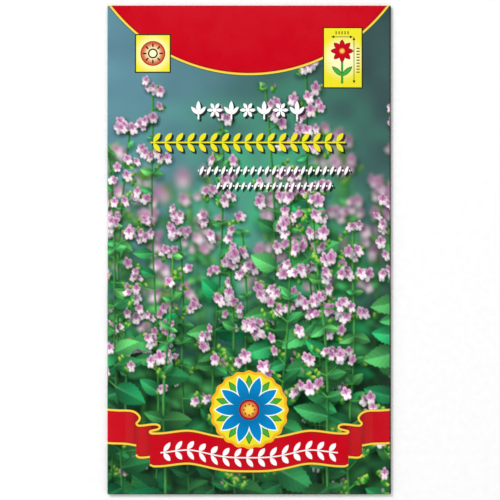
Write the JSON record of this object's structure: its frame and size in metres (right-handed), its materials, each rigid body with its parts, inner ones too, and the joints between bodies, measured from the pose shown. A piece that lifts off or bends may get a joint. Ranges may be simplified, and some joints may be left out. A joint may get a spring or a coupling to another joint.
{
  "type": "seed packet",
  "caption": "Flat sealed paper seed packet: one printed die-cut sheet folded and glued at a side seam and both ends, round an inner sachet that holds the seeds.",
  "frame": {"origin": "middle of the packet's underside, on the surface that it lies on", "axes": "+Y towards the packet's top, +X to its right as its front is read, +Z out of its printed front"},
  "size_m": [0.08, 0.138, 0.0025],
  "materials": {
    "printed_paper": "satin",
    "dried_glue": "satin",
    "sachet_glassine": "satin",
    "seed_coat": "matte"
  },
  "bodies": {
    "root": {"paper_envelope": "printed_paper", "side_seam_glue": "dried_glue", "top_flap_glue": "dried_glue", "bottom_flap_glue": "dried_glue", "inner_sachet": "sachet_glassine", "seeds": "seed_coat"}
  },
  "joints": []
}
